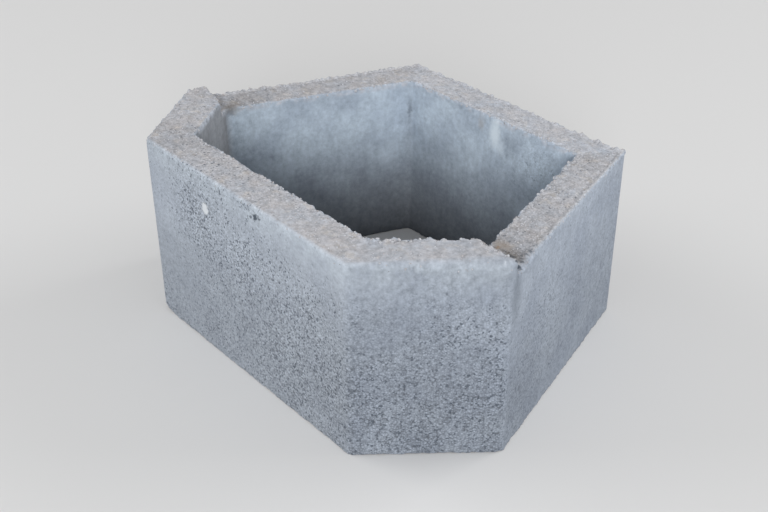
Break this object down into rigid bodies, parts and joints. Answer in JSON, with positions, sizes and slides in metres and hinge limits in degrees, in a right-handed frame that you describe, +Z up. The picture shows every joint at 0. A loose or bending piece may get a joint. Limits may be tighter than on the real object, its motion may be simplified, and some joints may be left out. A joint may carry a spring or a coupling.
{
  "type": "retaining wall block",
  "caption": "Hollow six-sided pressed concrete block with a raised front lip, for stepped dry-laid retaining walls that are filled and planted.",
  "frame": {"origin": "centre of the plan's box, on the bed that the block stands on", "axes": "+X across the two shoulders, +Y from the front face to the back face, +Z up"},
  "size_m": [0.3884, 0.288, 0.163],
  "materials": {
    "concrete": "rough open-textured dry-cast concrete"
  },
  "bodies": {
    "root": {"block": "concrete"}
  },
  "joints": []
}
